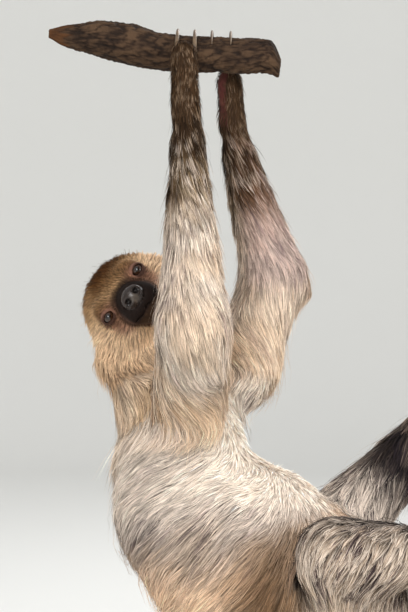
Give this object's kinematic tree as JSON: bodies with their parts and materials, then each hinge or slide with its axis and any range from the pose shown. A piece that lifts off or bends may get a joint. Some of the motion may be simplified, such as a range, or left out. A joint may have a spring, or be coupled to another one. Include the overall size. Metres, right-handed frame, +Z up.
{
  "type": "two-toed sloth display model",
  "caption": "Life-size still model of a two-toed sloth hanging by its arms from a cut branch, feet on a second branch, on a plain display stand.",
  "frame": {"origin": "centre of the underside of the stand's base, on the floor", "axes": "+Z up, the longest way; -Y the way the face and belly look; -X towards the head and +X towards the feet; Y is the shortest way"},
  "size_m": [0.5184, 0.3061, 0.7215],
  "materials": {
    "coat": "long coarse fur, pale cream to grey-brown, matt",
    "skin": "bare skin, fine folds, matt",
    "nose": "bare nose pad, slightly moist",
    "eye": "dark brown, wet gloss",
    "claw": "horn, satin",
    "bark": "rough bark, sawn and broken ends",
    "base": "dark oiled board",
    "steel": "plain round bar"
  },
  "bodies": {
    "root": {"belly": "coat", "branch": "bark", "chest": "coat", "ear_left": "skin", "ear_right": "skin", "eye_left": "eye", "eye_right": "eye", "foot_branch": "bark", "foot_left": "coat", "foot_left_claw_1": "claw", "foot_left_claw_2": "claw", "foot_left_claw_3": "claw", "foot_right": "coat", "foot_right_claw_1": "claw", "foot_right_claw_2": "claw", "foot_right_claw_3": "claw", "forearm_left": "coat", "forearm_right": "coat", "hand_left": "coat", "hand_left_claw_1": "claw", "hand_left_claw_2": "claw", "hand_right": "coat", "hand_right_claw_1": "claw", "hand_right_claw_2": "claw", "head": "coat", "neck": "coat", "nose": "nose", "rump": "coat", "shin_left": "coat", "shin_right": "coat", "stand_base": "base", "stand_rod_1": "steel", "stand_rod_2": "steel", "thigh_left": "coat", "thigh_right": "coat", "upper_arm_left": "coat", "upper_arm_right": "coat"}
  },
  "joints": []
}
